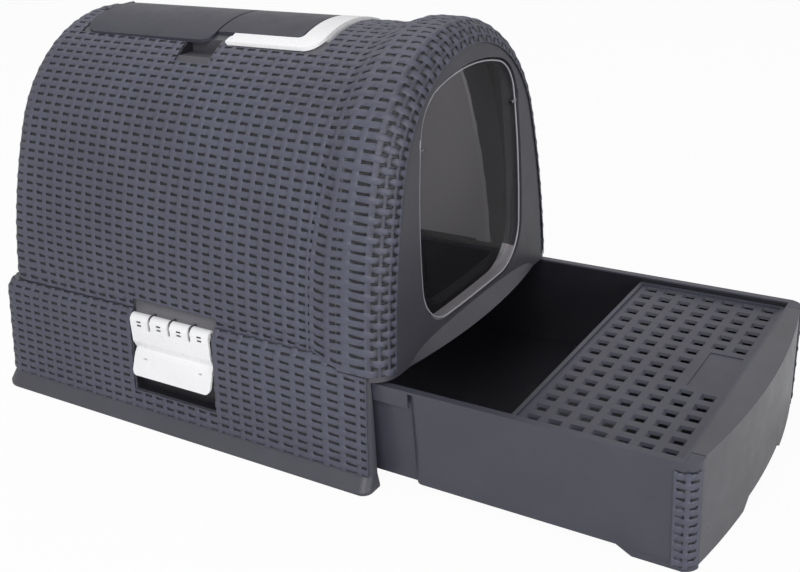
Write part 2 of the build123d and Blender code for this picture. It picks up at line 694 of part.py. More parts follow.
# ---------------------------------------------------------------- handle
def handle_plate():
    outline = plan(MIDDLE_PLATE_HALF, grip_rear(), MIDDLE_PLATE_REAR, 0, PLATE_ROUND)
    return cover_plate(outline, 0, LID_LIFT + PLATE_THICK)


def handle_pivot_pins():
    pin = rod_x(HANDLE_PIN, HANDLE_PIN_START, HANDLE_PIN_END, HANDLE_AXIS_Y, HANDLE_AXIS_Z)
    return both_sides(pin)


def carry_handle():
    rear = HANDLE_AXIS_Y + HANDLE_BOSS
    bar_rear = HANDLE_FRONT + HANDLE_BAR
    outline = plan(HANDLE_HALF, HANDLE_FRONT, rear, 0, HANDLE_ROUND)
    outline -= plan(HANDLE_INNER, bar_rear, rear + 1, 0, 6)
    body = cover_plate(outline, HANDLE_LIFT, HANDLE_THICK)
    body -= block(-BIG, BIG, HANDLE_AXIS_Y, BIG, 0, BIG)
    boss = both_sides(rod_x(HANDLE_BOSS, HANDLE_INNER, HANDLE_HALF, HANDLE_AXIS_Y, HANDLE_AXIS_Z))
    body += boss & cover_prism(-HANDLE_LIFT - HANDLE_THICK, CREASE, HOOD_REAR)
    skirt_half = GRIP_HALF - 2
    skirt = cover_prism(-HANDLE_LIFT - 1, CREASE, HOOD_REAR)
    skirt -= cover_prism(BAR_SKIRT, CREASE - 1, HOOD_REAR + 1)
    for y in (HANDLE_FRONT, bar_rear - BAR_WALL):
        body += skirt & block(-skirt_half, skirt_half, y, y + BAR_WALL, 0, BIG)
    return body - both_sides(rod_x(HANDLE_PIN + RUN_GAP, HANDLE_INNER - 1, HANDLE_PIN_END + 0.5,
                                   HANDLE_AXIS_Y, HANDLE_AXIS_Z))


# ---------------------------------------------------------------- latches
def latch_right():
    face, t = LATCH_FACE, LATCH_THICK
    out = face + FLAP_OUT
    sheet = [(face, LATCH_SLOT_FOOT), (face, GROOVE_TOP), (face - GROOVE_DEEP, GROOVE_MID),
             (face, GROOVE_FOOT), (out, FLAP_FOOT), (out - t, FLAP_FOOT),
             (face - t + 0.2, GROOVE_FOOT - 1), (face - GROOVE_DEEP - t, GROOVE_MID),
             (face - t, GROOVE_TOP + 0.8), (face - t, LATCH_SLOT_FOOT)]
    body = upright(sheet, LATCH_FRONT, LATCH_REAR)
    mask = Plane((100, 0, 0), x_dir=(0, 1, 0), z_dir=(1, 0, 0)) * (
        Pos((LATCH_FRONT + LATCH_REAR) / 2, (FLAP_FOOT + LATCH_SLOT_FOOT) / 2)
        * Rectangle(LATCH_REAR - LATCH_FRONT, LATCH_SLOT_FOOT - FLAP_FOOT))
    mask = fillet(mask.vertices().sort_by(Axis.Z)[:2], FLAP_ROUND)
    body &= extrude(mask, 150, dir=(1, 0, 0))
    width, low, high = SLIT
    for y in (-SLIT_OFF, SLIT_OFF):
        middle = (LATCH_FRONT + LATCH_REAR) / 2 + y
        body -= block(face - t - 1, out, middle - width / 2, middle + width / 2, low, high)

    step = finger_width() + LATCH_SLOT
    for k in range(LATCH_FINGERS):
        y0 = LATCH_FRONT + k * step
        y1 = y0 + finger_width()
        body += clip_finger(y0, y1)
    return body - rod_y(ROD_R + RUN_GAP, LATCH_FRONT - 1, LATCH_REAR + 1, ROD_X, ROD_Z)


def clip_finger(y0, y1):
    """One finger of the latch, hooked over the rod, with its two windows."""
    face, t = LATCH_FACE, LATCH_THICK
    turn = math.radians(40)
    reach = LATCH_FACE - ROD_X
    rise = ROD_Z + CLIP_R - LATCH_TOP
    edges = Curve() + [
        Line((face - t, y0, LATCH_SLOT_FOOT), (face, y0, LATCH_SLOT_FOOT)),
        Line((face, y0, LATCH_SLOT_FOOT), (face, y0, LATCH_TOP)),
        ThreePointArc((face, y0, LATCH_TOP),
                      (ROD_X + reach * math.cos(turn), y0, LATCH_TOP + rise * math.sin(turn)),
                      (ROD_X, y0, ROD_Z + CLIP_R)),
        ThreePointArc((ROD_X, y0, ROD_Z + CLIP_R), (ROD_X - CLIP_R, y0, ROD_Z),
                      (ROD_X, y0, ROD_Z - CLIP_R)),
        Line((ROD_X, y0, ROD_Z - CLIP_R), (face - t, y0, ROD_Z - CLIP_R - 2)),
        Line((face - t, y0, ROD_Z - CLIP_R - 2), (face - t, y0, LATCH_SLOT_FOOT)),
    ]
    body = extrude(make_face(edges), y1 - y0, dir=(0, 1, 0))
    middle = (y0 + y1) / 2
    for z in WINDOWS:
        body -= block(face - WINDOW_DEEP, face + 1, middle - WINDOW_HALF, middle + WINDOW_HALF,
                      z - WINDOW_HIGH / 2, z + WINDOW_HIGH / 2)
    return body


def latch_hinge_rods():
    return both_sides(rod_y(ROD_R, LATCH_FRONT + 2, LATCH_REAR - 2, ROD_X, ROD_Z))


# ---------------------------------------------------------------- drawer
def tub_plan(z, inset=0.0):
    """Level section of the drawer's tub."""
    draw = tub_in(z) + inset
    return plan(TUB_HALF - draw, TUB_FRONT + inset, TUB_REAR - draw, z, 0, TUB_REAR_ROUND - inset)


def panel_plan(z, inset=0.0):
    """Level section of the outer panels at the drawer's front half."""
    half = TUB_HALF + RIM_OUT - tub_in(z) - inset
    return plan(half, TUB_FRONT, PANEL_REAR - inset, z, 0, PANEL_ROUND - inset)


def post_form(inset, foot, top):
    """Rounded corner post on the right, leaning in towards its foot."""
    x = TUB_HALF + RIM_OUT - inset
    x_in = POST_IN + inset
    front, back = POST_FRONT + inset, TUB_FRONT
    x_far = x_in - POST_DRAFT - 1
    turn = math.radians(45)
    mid = (x_in + (x - x_in) * math.sin(turn), back - (back - front) * math.cos(turn), 0)
    outline = Curve() + [
        Line((x_far, back), (x, back)),
        ThreePointArc((x, back, 0), mid, (x_in, front, 0)),
        Line((x_in, front), (x_far, front)),
        Line((x_far, front), (x_far, back)),
    ]
    lean = POST_DRAFT / DRAWER_TOP
    low = Pos(-lean * DRAWER_TOP - lean, 0, -1) * make_face(outline)
    post = extrude(low, DRAWER_TOP + 1, dir=(lean, 0, 1))
    return post & block(x_in, BIG, -BIG, BIG, foot, top)


def drawer_tray():
    low = tub_floor()
    outer = loft([tub_plan(low), tub_plan(DRAWER_TOP)], ruled=True)
    inner = loft([tub_plan(low + TUB_WALL, TUB_WALL), tub_plan(DRAWER_TOP, TUB_WALL)], ruled=True)
    rim_half = TUB_HALF + RIM_OUT
    rim_rear = TUB_REAR + RIM_OUT
    rim_face = plan(rim_half, TUB_FRONT, rim_rear, LIP_FOOT, 0, TUB_REAR_ROUND + RIM_OUT)
    rim = column(rim_face, DRAWER_TOP - LIP_FOOT)
    rim -= column(plan(rim_half - TUB_WALL, TUB_FRONT - 1, rim_rear - TUB_WALL, LIP_FOOT, 0,
                       TUB_REAR_ROUND + RIM_OUT - TUB_WALL), DRAWER_TOP - LIP_FOOT - TUB_WALL)
    rim -= block(-BIG, BIG, -BIG, PANEL_REAR - 0.5, 0, DRAWER_TOP - TUB_WALL)
    panels = loft([panel_plan(low), panel_plan(DRAWER_TOP)], ruled=True)
    hollow = loft([panel_plan(low, TUB_WALL), panel_plan(DRAWER_TOP, TUB_WALL)], ruled=True)
    panels -= hollow & block(-BIG, BIG, -BIG, BIG, 0, DRAWER_TOP - TUB_WALL)
    body = outer + rim + panels

    post = post_form(0, 0, DRAWER_TOP) - post_form(TUB_WALL, -1, DRAWER_TOP - TUB_WALL)
    body += both_sides(post)
    ramp = [(FOOT_REAR + FOOT_RAMP, low), (TUB_FRONT, low), (TUB_FRONT, 0), (FOOT_REAR, 0)]
    foot = extrude(make_face(Polyline([(FOOT_IN, y, z) for y, z in ramp], close=True)),
                   FOOT_OUT - FOOT_IN, dir=(1, 0, 0))
    foot -= block(FOOT_IN + TUB_WALL, FOOT_OUT - TUB_WALL, TUB_FRONT + TUB_WALL,
                  FOOT_REAR - TUB_WALL, -1, low - TUB_WALL)
    body += both_sides(foot)
    body -= inner

    # ledge that carries the grid
    ledge_top = GRID_FOOT
    ledge = loft([tub_plan(ledge_top - GRID_LEDGE_THICK, TUB_WALL / 2),
                  tub_plan(ledge_top, TUB_WALL / 2)], ruled=True)
    ledge &= block(-BIG, BIG, -BIG, GRID_REAR - GRID_SKIRT, 0, BIG)
    free = TUB_HALF - tub_in(ledge_top) - TUB_WALL - GRID_LEDGE
    ledge -= block(-free, free, TUB_FRONT + TUB_WALL + GRID_LEDGE, BIG, 0, BIG)
    return body + ledge


def drawer_front():
    def bow(z, inset):
        half = FRONT_HALF - inset
        side, middle = FRONT_SIDE + inset, FRONT_MIDDLE + inset
        outline = Curve() + [
            Line((half, side, z), (half, TUB_FRONT, z)),
            Line((half, TUB_FRONT, z), (-half, TUB_FRONT, z)),
            Line((-half, TUB_FRONT, z), (-half, side, z)),
            ThreePointArc((-half, side, z), (0, middle, z), (half, side, z)),
        ]
        return make_face(outline)
    body = column(bow(FRONT_FOOT, 0), DRAWER_TOP - FRONT_FOOT)
    body -= column(bow(FRONT_FOOT, TUB_WALL), DRAWER_TOP - FRONT_FOOT - TUB_WALL)
    top = FRONT_FOOT + NOTCH_HIGH
    notch = [(-NOTCH_HALF, 0), (NOTCH_HALF, 0), (NOTCH_HALF, FRONT_FOOT),
             (NOTCH_TOP_HALF, top), (-NOTCH_TOP_HALF, top), (-NOTCH_HALF, FRONT_FOOT)]
    return body - upright(notch, FRONT_MIDDLE - 5, TUB_FRONT - TUB_WALL)


# ---------------------------------------------------------------- grid
def grid_half():
    """Half width of the grid, inside the tub's walls."""
    return TUB_HALF - tub_in(GRID_FOOT) - TUB_WALL - GRID_GAP


def hole_columns():
    """Even number of columns that the grid has room for."""
    room = 2 * (grid_half() - GRID_RIM - HOLE_MARGIN) - HOLE_TOP[0]
    return 2 * int((room / HOLE_PITCH_X + 1) / 2)


def hole_places():
    """Middles of the grid's holes, less the ones the lift panel takes."""
    columns = hole_columns()
    first_x = -HOLE_PITCH_X * (columns - 1) / 2
    bare = range((columns - BARE_COLUMNS) // 2, (columns + BARE_COLUMNS) // 2)
    for i in range(columns):
        for j in range(HOLE_ROWS):
            if not (i in bare and j >= HOLE_ROWS - BARE_ROWS):
                yield first_x + i * HOLE_PITCH_X, HOLE_FIRST_Y - j * HOLE_PITCH_Y


def litter_grid():
    half = grid_half()
    front = TUB_FRONT + TUB_WALL + GRID_FRONT_GAP
    body = column(plan(half, front, GRID_REAR, GRID_FOOT, 2, 2), GRID_RIM_TOP - GRID_FOOT)
    body -= column(plan(half - GRID_RIM, front + GRID_RIM, GRID_REAR - GRID_RIM, GRID_FACE),
                   GRID_RIM_TOP - GRID_FACE)
    body -= column(plan(half - GRID_SKIRT, front + GRID_SKIRT, GRID_REAR - GRID_SKIRT, GRID_FOOT),
                   GRID_FACE - GRID_THICK - GRID_FOOT)
    body -= block(-LIFT_HALF, LIFT_HALF, LIFT_FRONT, LIFT_REAR, GRID_FACE - LIFT_DEEP, BIG)
    step_x, step_y = [(a - b) / 2 for a, b in zip(HOLE_TOP, HOLE_FOOT)]
    funnel = Wedge(HOLE_TOP[0], GRID_THICK, HOLE_TOP[1], step_x, step_y,
                   step_x + HOLE_FOOT[0], step_y + HOLE_FOOT[1])
    funnel = Pos(0, 0, GRID_FACE - GRID_THICK / 2) * Rot(-90, 0, 0) * funnel
    return body - [Pos(x, y) * funnel for x, y in hole_places()]


# ---------------------------------------------------------------- the parts
PARTS = {
    "base_shell": base_shell,
    "hood_shell": hood_shell,
    "storage_well": storage_well,
    "handle_plate": handle_plate,
    "handle_pivot_pins": handle_pivot_pins,
    "lid_hinge_pin": lid_hinge_pin,
    "latch_hinge_rods": latch_hinge_rods,
    "door_pivot_pins": door_pivot_pins,
    "swing_door": swing_door,
    "storage_lid": storage_lid,
    "carry_handle": carry_handle,
    "latch_right": latch_right,
    "latch_left": lambda: mirror(latch_right(), about=Plane.YZ),
    "drawer_tray": drawer_tray,
    "drawer_front": drawer_front,
    "litter_grid": litter_grid,
}

for name, make in PARTS.items():
    shape = make()
    export_step(shape, f"parts/{name}.step")
    print(name, "volume", round(shape.volume / 1000, 1), "cm3")
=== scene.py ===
import math

import bpy
from mathutils import Matrix, Vector
from mathutils.geometry import convex_hull_2d


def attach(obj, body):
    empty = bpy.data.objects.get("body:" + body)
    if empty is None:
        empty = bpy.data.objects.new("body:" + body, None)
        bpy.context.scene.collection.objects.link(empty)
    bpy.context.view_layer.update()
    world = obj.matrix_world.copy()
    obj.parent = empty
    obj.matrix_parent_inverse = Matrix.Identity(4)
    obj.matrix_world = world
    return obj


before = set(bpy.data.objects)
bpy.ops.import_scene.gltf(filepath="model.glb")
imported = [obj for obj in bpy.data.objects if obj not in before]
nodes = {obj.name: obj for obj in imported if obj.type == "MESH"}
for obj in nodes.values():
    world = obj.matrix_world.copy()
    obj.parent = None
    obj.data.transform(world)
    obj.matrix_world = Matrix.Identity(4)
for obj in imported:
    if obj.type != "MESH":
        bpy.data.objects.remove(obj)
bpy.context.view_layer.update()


# ------------------------------------------------------------------ shader tools
class Value:
    """What a shader socket gives, with plain arithmetic that adds Math nodes."""

    def __init__(self, tree, socket):
        self.tree = tree
        self.socket = socket

    def reckon(self, operation, *others, clamp=False):
        node = self.tree.nodes.new("ShaderNodeMath")
        node.operation = operation
        node.use_clamp = clamp
        for place, value in enumerate((self, *others)):
            if isinstance(value, Value):
                self.tree.links.new(value.socket, node.inputs[place])
            else:
                node.inputs[place].default_value = value
        return Value(self.tree, node.outputs[0])

    def __add__(self, other):
        return self.reckon("ADD", other)

    def __mul__(self, other):
        return self.reckon("MULTIPLY", other)

    def __sub__(self, other):
        return self.reckon("SUBTRACT", other)

    def __rsub__(self, other):
        return (self * -1.0).reckon("ADD", other)

    def held(self):
        """The value, kept between 0 and 1."""
        return self.reckon("ADD", 0.0, clamp=True)


class Finish:
    """A material under construction."""

    def __init__(self, name):
        self.material = bpy.data.materials.new(name)
        self.material.use_nodes = True
        self.tree = self.material.node_tree
        self.tree.nodes.clear()
        self.place = self.node("ShaderNodeTexCoord", output="Object")

    def node(self, kind, settings=None, output=0, **inputs):
        """Any node: its settings first, then the values or links of its sockets."""
        node = self.tree.nodes.new(kind)
        for name, value in (settings or {}).items():
            setattr(node, name, value)
        for name, value in inputs.items():
            self.feed(node.inputs[name.replace("_", " ")], value)
        return Value(self.tree, node.outputs[output])

    def feed(self, socket, value):
        if isinstance(value, Value):
            self.tree.links.new(value.socket, socket)
        else:
            socket.default_value = value

    def mix(self, share, first, second):
        """A colour between two others."""
        node = self.tree.nodes.new("ShaderNodeMix")
        node.data_type = "RGBA"
        self.feed(node.inputs[0], share)
        self.feed(node.inputs[6], first)
        self.feed(node.inputs[7], second)
        return Value(self.tree, node.outputs[2])

    def noise(self, scale, detail=2.0, rough=0.5, stretch=None):
        """Soft noise, with scale in waves per metre."""
        vector = self.place
        if stretch:
            vector = self.node("ShaderNodeMapping", Vector=self.place, Scale=stretch)
        return self.node("ShaderNodeTexNoise", Vector=vector, Scale=scale, Detail=detail,
                         Roughness=rough)

    def axes(self):
        """The three Object coordinates, with x counted from the middle."""
        apart = self.tree.nodes.new("ShaderNodeSeparateXYZ")
        self.tree.links.new(self.place.socket, apart.inputs[0])
        x, y, z = (Value(self.tree, apart.outputs[k]) for k in range(3))
        return x.reckon("ABSOLUTE"), y, z

    def within(self, value, low, high, soft=0.0002):
        """1 between two numbers, 0 outside them."""
        above = self.ramp(value, low - soft, low + soft)
        return above * self.ramp(value, high + soft, high - soft)

    def ramp(self, value, low, high):
        """The value, spread from 0 at low to 1 at high."""
        return ((value - low) * (1.0 / (high - low))).held()

    def finish(self, shader):
        out = self.tree.nodes.new("ShaderNodeOutputMaterial")
        self.tree.links.new(shader.socket, out.inputs["Surface"])
        return self.material


def paint(red, green, blue):
    """Linear colour of a paint chip given in screen values."""
    def linear(c):
        c /= 255.0
        return c / 12.92 if c <= 0.04045 else ((c + 0.055) / 1.055) ** 2.4
    return (linear(red), linear(green), linear(blue), 1.0)


def moulded(name, colour, rough, grain=0.00005, grain_scale=1500.0, gloss=0.5, pit_shade=None,
            streak=None, tint=0.10, polish=0.10, painted_shade=None, painted_shade_colour=None,
            painted_light=None, painted_light_colour=None):
    """Injection-moulded plastic: cloudy colour, fine grain and hand-worn sheen.

    grain is the height of the grain in metres, and grain_scale its waves per metre. pit_shade is
    how much of the colour is left where the weave is deepest: painted shade in the weave's pits.
    streak gives flow marks: waves per metre, stretch and strength. painted_shade and
    painted_light give the share of another colour at a place: painted shade inside hollows and
    recesses, and painted light on the cover's inner face."""
    skin = Finish(name)
    cloud = skin.noise(9.0, detail=3.0, rough=0.6)
    light = tuple(min(1.0, c * (1.0 + tint)) for c in colour[:3]) + (1.0,)
    dark = tuple(c * (1.0 - tint) for c in colour[:3]) + (1.0,)
    base = skin.mix(skin.ramp(cloud, 0.35, 0.65), dark, light)
    if streak:
        scale, stretch, strength = streak
        flow = skin.noise(scale, detail=4.0, rough=0.6, stretch=stretch)
        base = skin.mix(skin.ramp(flow, 0.45, 0.75) * strength, base, light)
    # painted shade: the colour darkens where the weave is deepest, as shade in its pits
    if pit_shade:
        depth = skin.node("ShaderNodeAttribute", {"attribute_name": "height"}, output="Fac")
        shade = tuple(c * pit_shade for c in colour[:3]) + (1.0,)
        base = skin.mix(skin.ramp(depth, 0.20, 0.50), shade, base)
    # painted light: a lighter colour on the cover's inner face, as if lit
    if painted_light:
        base = skin.mix(painted_light(skin), base, painted_light_colour)
    # painted shade: a dark colour inside hollows and recesses, where shade falls
    if painted_shade:
        base = skin.mix(painted_shade(skin), base, painted_shade_colour)
    fine = skin.noise(grain_scale, rough=0.7)
    wear = skin.noise(45.0, detail=3.0, rough=0.55)
    bump = skin.node("ShaderNodeBump", Height=fine, Strength=0.6, Distance=grain)
    shader = skin.node("ShaderNodeBsdfPrincipled", Base_Color=base,
                       Roughness=(wear - 0.5) * (2.0 * polish) + rough, Normal=bump,
                       Specular_IOR_Level=gloss)
    return skin.finish(shader)


# ------------------------------------------------------------------ the hood's section
class Arch:
    """Cross-section of the cover, from foot to crown, as the moulding has it."""

    def __init__(self, half, foot, turn, side, side_turn, haunch, haunch_turn):
        turns = [math.radians(t) for t in (turn, side_turn, haunch_turn, 90.0)]
        x, z = half, foot
        self.arcs = []
        for radius, start, end in zip((side, haunch), turns, turns[1:]):
            centre = (x - radius * math.cos(start), z - radius * math.sin(start))
            self.arcs.append((centre, radius, start, end))
            x = centre[0] + radius * math.cos(end)
            z = centre[1] + radius * math.sin(end)
        radius = x / math.cos(turns[2])
        self.arcs.append(((0.0, z - radius * math.sin(turns[2])), radius, turns[2], turns[3]))
        self.lengths = [r * (b - a) for _, r, a, b in self.arcs]

    def share(self, length):
        """Arc number and share of it at a length from the foot."""
        for number, arc in enumerate(self.lengths):
            if length <= arc or number == 2:
                return number, length / arc
            length -= arc

    def point(self, number, share, inset=0.0):
        """Place and outward normal in the XZ plane, for the right-hand side."""
        (cx, cz), radius, start, end = self.arcs[number]
        turn = start + (end - start) * share
        x = cx + (radius - inset) * math.cos(turn)
        z = cz + (radius - inset) * math.sin(turn)
        return x, z, math.cos(turn), math.sin(turn)


COVER = Arch(0.1670, 0.1180, 2.75, 0.605, 20.2, 0.155, 54.7)
FRONT = Arch(0.1764, 0.1120, 2.2, 0.733, 16.6, 0.1526, 54.7)
HOOD_FOOT = 0.1180
REAR_FOOT = 0.2313              # rear face at the hood's foot
REAR_LEAN = 0.079               # it leans forward by this share of the height
REAR_ROUND = 0.0205             # rounding between a side and the rear face


def rear_face(z):
    """Where the leaning rear face is at a height."""
    return REAR_FOOT - (z - HOOD_FOOT) * REAR_LEAN


# ------------------------------------------------------------------ painted shade and light by place
SOFT = 0.0003                   # half width of the change from one colour to the next
DRAWER_TOP = 0.108
TRAY_HALF = 0.1613              # just inside the tray's wall, at the drawer's top
TRAY_DRAFT = 0.0524
TRAY_ALONG = (-0.5346, -0.0605)
TRAY_UP = (0.0100, 0.1064)
FLARE_TOP = 0.014               # top of the base's flared foot
SKIRT_TILT = math.tan(math.radians(4.15))
BASE_IN_HALF = 0.1820           # halfway through the base's wall, at the flare's top
BASE_IN_REAR = 0.2458
BASE_IN_UP = (0.0015, 0.1190)
HALF_WALL = 0.0015              # halfway through the cover's wall
INNER_FRONT = (-0.2290, -0.2280)    # the cover's inner face starts here
SILL_UP = (0.1250, 0.1490)      # foot of the doorway
SILL_FRONT = (-0.2625, -0.2615)
SILL_HALF = (0.1120, 0.1100)
POCKET_ACROSS = (0.0560, 0.0930)    # finger pockets beside the lid
POCKET_ALONG = (-0.0210, 0.0220)
POCKET_FLOOR = (0.3670, 0.3675)
POCKET_REAR = (0.0204, 0.0214)
POCKET_REAR_UP = (0.3660, 0.3925)
FINGERS = (-0.0508, -0.0239, 0.0029, 0.0298)        # middles of a latch's fingers
WINDOW_HALF = 0.0031
WINDOW_FLOOR = (0.1771, 0.1780)
WINDOWS_UP = ((0.1109, 0.1131), (0.1149, 0.1171))   # two windows in each finger


def tray_inside_shade(skin):
    """Painted shade inside the drawer's tub: where its inside is darkened."""
    x, y, z = skin.axes()
    wall = (z - DRAWER_TOP) * TRAY_DRAFT + TRAY_HALF
    inner = skin.ramp(wall - x, -SOFT, SOFT)
    return inner * skin.within(y, *TRAY_ALONG) * skin.within(z, *TRAY_UP)


def base_inside_shade(skin):
    """Painted shade inside the base, below its shoulder."""
    x, y, z = skin.axes()
    drawn = (z - FLARE_TOP) * SKIRT_TILT
    inner = skin.ramp(BASE_IN_HALF - drawn - x, -0.0005, 0.0005)
    rear = skin.ramp(BASE_IN_REAR - drawn - y, -0.0005, 0.0005)
    front = skin.ramp(y, -0.2440, -0.2430)
    return inner * rear * front * skin.within(z, *BASE_IN_UP)


def hood_inside_light(skin):
    """Painted light on the inner face of the cover behind its doorway, and on the doorway's sill.
    """
    x, y, z = skin.axes()
    turn = REAR_ROUND - HALF_WALL
    out = None
    for number in range(3):
        for share in (0.1, 0.3, 0.5, 0.7, 0.9):
            px, pz, nx, nz = COVER.point(number, share, HALF_WALL)
            past = x * nx + z * nz - (px * nx + pz * nz)
            out = past if out is None else out.reckon("MAXIMUM", past)
    out = (out + turn).reckon("MAXIMUM", 0.0)
    behind = (y - (rear_face(z) - HALF_WALL) + turn).reckon("MAXIMUM", 0.0)
    round_edge = (out * out + behind * behind).reckon("SQRT")
    inner = skin.ramp(round_edge, turn + SOFT, turn - SOFT)
    pocket = (skin.within(x, *POCKET_ACROSS) * skin.within(y, *POCKET_ALONG)
              * skin.ramp(z, *POCKET_FLOOR))
    sill = (skin.within(z, *SILL_UP) * skin.ramp(y, *SILL_FRONT)
            * skin.ramp(x, *SILL_HALF))
    front = skin.ramp(y, *INNER_FRONT).reckon("MAXIMUM", sill)
    return inner * front * (1 - pocket)


def pocket_wall_shade(skin):
    """Painted shade on the rear walls of the finger pockets beside the lid."""
    x, y, z = skin.axes()
    return (skin.within(x, *POCKET_ACROSS) * skin.within(y, *POCKET_REAR)
            * skin.within(z, *POCKET_REAR_UP))


def window_shade(skin):
    """Painted shade in the small windows in the latch fingers."""
    x, y, z = skin.axes()
    low, high = (skin.within(z, *window) for window in WINDOWS_UP)
    wide = 0.0
    for middle in FINGERS:
        wide = skin.within(y, middle - WINDOW_HALF, middle + WINDOW_HALF) + wide
    return skin.within(x, *WINDOW_FLOOR) * (low + high) * wide


GREY = paint(79, 80, 95)
# painted shade: the dark colour given to the insides
INSIDE_SHADE = paint(34, 33, 39)
# the weave's pits get painted shade
woven = moulded("woven", GREY, 0.50, grain=0.00008, grain_scale=900.0, pit_shade=0.10)
# the hood's inner face gets painted light, and its pockets' rear walls painted shade
hood_grey = moulded("hood_grey", paint(70, 70, 77), 0.42, grain=0.00002, painted_light=hood_inside_light,
                    painted_light_colour=paint(205, 201, 207), painted_shade=pocket_wall_shade, painted_shade_colour=INSIDE_SHADE)
# the base's inside gets painted shade
base_grey = moulded("base_grey", paint(74, 74, 83), 0.42, grain=0.00004,
                    painted_shade=base_inside_shade, painted_shade_colour=INSIDE_SHADE)
lid_grey = moulded("lid_grey", paint(50, 50, 62), 0.44, grain=0.00004, gloss=0.35)
# the tray's inside gets painted shade
drawer_grey = moulded("drawer_grey", paint(69, 69, 81), 0.36, grain=0.00003,
                      streak=(14.0, (1.0, 0.15, 3.0), 0.35),
                      painted_shade=tray_inside_shade, painted_shade_colour=INSIDE_SHADE)
front_grey = moulded("front_grey", paint(80, 80, 86), 0.32, grain=0.00002,
                     streak=(10.0, (0.2, 1.0, 2.0), 0.4))
grid_grey = moulded("grid_grey", paint(68, 68, 79), 0.40, grain=0.00004)
pin_grey = moulded("pin_steel", paint(120, 120, 122), 0.30, grain=0.00001)
white = moulded("white_plastic", paint(250, 250, 252), 0.28, grain=0.00002, tint=0.02,
                polish=0.06)
# the latch's windows get painted shade
latch_white = moulded("latch_white", paint(250, 250, 252), 0.28, grain=0.00002, tint=0.02,
                      polish=0.06, painted_shade=window_shade, painted_shade_colour=paint(38, 37, 42))
# painted highlight: the clear flap's rim bead is light grey
bead_highlight = moulded("clear_bead_painted_highlight", paint(168, 166, 173), 0.20, grain=0.00001, tint=0.05,
                    polish=0.05)


def clear_plastic():
    """Clear flap with a faint haze, which shows more where it is looked along."""
    skin = Finish("clear_plastic")
    edge = skin.node("ShaderNodeLayerWeight", output="Fresnel", Blend=0.30)
    smear = skin.noise(12.0, detail=4.0, rough=0.6, stretch=(1.0, 1.0, 0.4))
    haze = skin.ramp(smear, 0.35, 0.75) * 0.02 + 0.02
    shader = skin.node("ShaderNodeBsdfPrincipled", Base_Color=paint(70, 69, 72),
                       Roughness=skin.ramp(smear, 0.3, 0.9) * 0.06 + 0.05,
                       Alpha=(haze + edge * 0.2).held(), Specular_IOR_Level=0.8)
    skin.material.surface_render_method = "BLENDED"
    return skin.finish(shader)


FINISHES = {
    "base_shell": base_grey,
    "hood_shell": hood_grey,
    "storage_well": lid_grey,
    "handle_plate": lid_grey,
    "handle_pivot_pins": pin_grey,
    "lid_hinge_pin": pin_grey,
    "latch_hinge_rods": pin_grey,
    "door_pivot_pins": pin_grey,
    "swing_door": clear_plastic(),
    "storage_lid": lid_grey,
    "carry_handle": white,
    "latch_left": latch_white,
    "latch_right": latch_white,
    "drawer_tray": drawer_grey,
    "drawer_front": front_grey,
    "litter_grid": grid_grey,
}
for name, material in FINISHES.items():
    for slot in nodes[name].material_slots:
        slot.material = material


# ------------------------------------------------------------------ modelling tools
SMOOTH = math.radians(60)       # edges flatter than this are shaded round
TINY = 1e-6


def only(piece):
    """Make a piece the only one selected."""
    bpy.ops.object.select_all(action="DESELECT")
    piece.select_set(True)
    bpy.context.view_layer.objects.active = piece


def edit(piece, kind="VERT"):
    """Open a piece in edit mode with nothing selected."""
    only(piece)
    bpy.ops.object.mode_set(mode="EDIT")
    bpy.ops.mesh.select_mode(type=kind)
    bpy.ops.mesh.select_all(action="DESELECT")


def close():
    bpy.ops.object.mode_set(mode="OBJECT")


def pick_faces(piece, wanted):
    """Select the faces whose middle a rule wants, and open the piece."""
    edit(piece, "FACE")
    close()
    for face in piece.data.polygons:
        face.select = wanted(face.center)
    bpy.ops.object.mode_set(mode="EDIT")


def cut(piece, at, along, drop=False):
    """Cut a flat piece by a plane, and drop what lies past it if asked."""
    edit(piece)
    bpy.ops.mesh.select_all(action="SELECT")
    bpy.ops.mesh.bisect(plane_co=at, plane_no=along, clear_outer=drop)
    close()


def copied(piece, name):
    twin = piece.copy()
    twin.data = piece.data.copy()
    twin.name = name
    bpy.context.scene.collection.objects.link(twin)
    return twin


# ------------------------------------------------------------------ weave, modelled flat
COLUMN = 0.01473        # from one upright stake to the next
ROW = 0.00864           # height of a strand
ACROSS = (0.18, 0.205, 0.40, 0.60, 0.795, 0.82, 1.0)    # cuts in a column: stakes at both ends
UP = (0.12, 0.17, 0.5, 0.83, 0.88, 1.0)                 # cuts in a row: gaps at both ends
STRAND = 0.00085        # a strand's lowest edge, halfway between two stakes
SWING = 0.00042         # it rises and dips by this as it passes stakes
CROWN = 0.00045         # its rounding
STAKE = 0.00118         # a stake's ridge
STAKE_FALL = 0.00022
LIFT = 0.00012          # gap's floor above the moulding
STAKE_HALF = 0.18       # half a stake's width, in columns
GAP = 0.14              # half a gap's height, in rows
GAP_WIDTHS = ((0.85, 0.20), (0.70, 0.75))   # gap's share at its front, and its growth rearwards
MERGE = 0.00002
HEM = 0.0006            # depth of the sheet's turned-down edge


def weave_height(u, v):
    """Height of the weave's surface at a place counted in columns and rows."""
    row = math.floor(v + TINY)
    up = v - row
    near = abs(u - round(u))
    stake = STAKE - STAKE_FALL * (near / STAKE_HALF) ** 2 if near < STAKE_HALF + 0.01 else 0.0
    if not GAP < up < 1.0 - GAP:
        return stake
    rounding = math.sqrt(1.0 - 2.0 * (2 * up - 1) ** 2)
    strand = STRAND + SWING * math.cos(math.pi * (u + row)) + CROWN * rounding
    return max(strand, stake)


